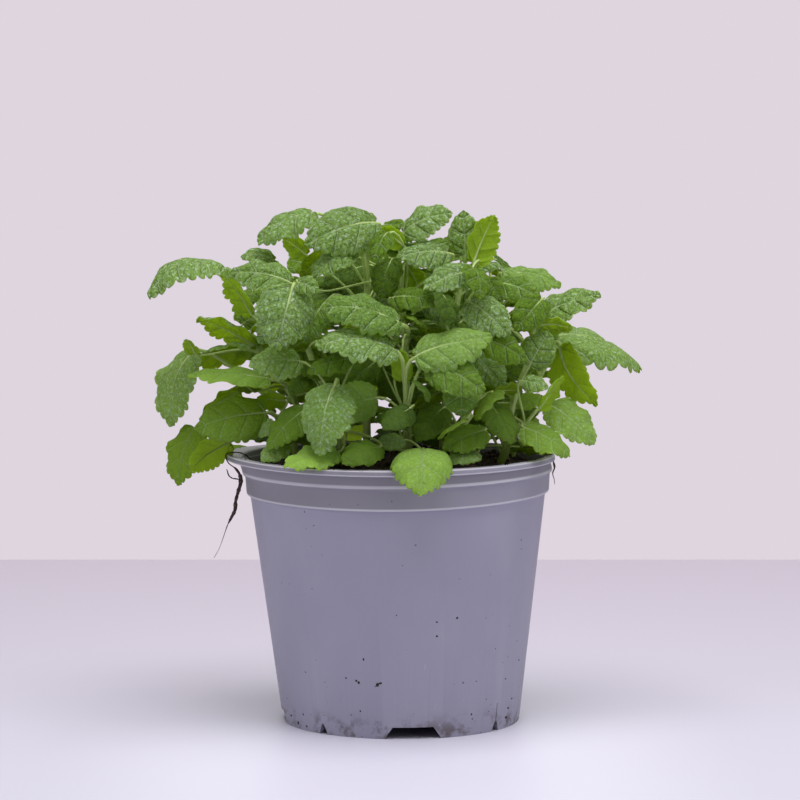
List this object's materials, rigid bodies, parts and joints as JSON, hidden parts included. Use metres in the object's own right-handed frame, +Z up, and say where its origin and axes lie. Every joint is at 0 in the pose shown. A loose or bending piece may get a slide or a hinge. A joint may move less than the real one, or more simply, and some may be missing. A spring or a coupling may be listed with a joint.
{
  "type": "potted herb plant",
  "caption": "Bushy lemon balm plant with toothed leaves, growing from soil in a tapered grey plastic nursery pot with a rolled lip and a notched foot.",
  "frame": {"origin": "centre of the pot's foot ring, on the surface that it stands on, which is also the middle of the part's base", "axes": "+Z up along the pot's axis, -Y towards the side that faces the viewer, +X to the viewer's right"},
  "size_m": [0.2004, 0.1564, 0.2095],
  "materials": {
    "pot_plastic": "satin lavender-grey moulded plastic",
    "potting_soil": "rough dark brown peat",
    "leaf_green": "soft quilted green leaf",
    "dead_root": "dry dark brown root"
  },
  "bodies": {
    "root": {"pot": "pot_plastic", "soil": "potting_soil", "shoot_front_centre": "leaf_green", "shoot_front_left": "leaf_green", "shoot_low_left": "leaf_green", "shoot_left": "leaf_green", "shoot_high_left": "leaf_green", "shoot_top_left": "leaf_green", "shoot_top_centre": "leaf_green", "shoot_top_right": "leaf_green", "shoot_high_right": "leaf_green", "shoot_right": "leaf_green", "shoot_low_right": "leaf_green", "shoot_front_right": "leaf_green", "shoot_low_front": "leaf_green", "shoot_back_left": "leaf_green", "shoot_back_centre": "leaf_green", "shoot_back_right": "leaf_green", "shoot_back_low": "leaf_green", "shoot_side_right": "leaf_green", "hanging_root": "dead_root"}
  },
  "joints": []
}
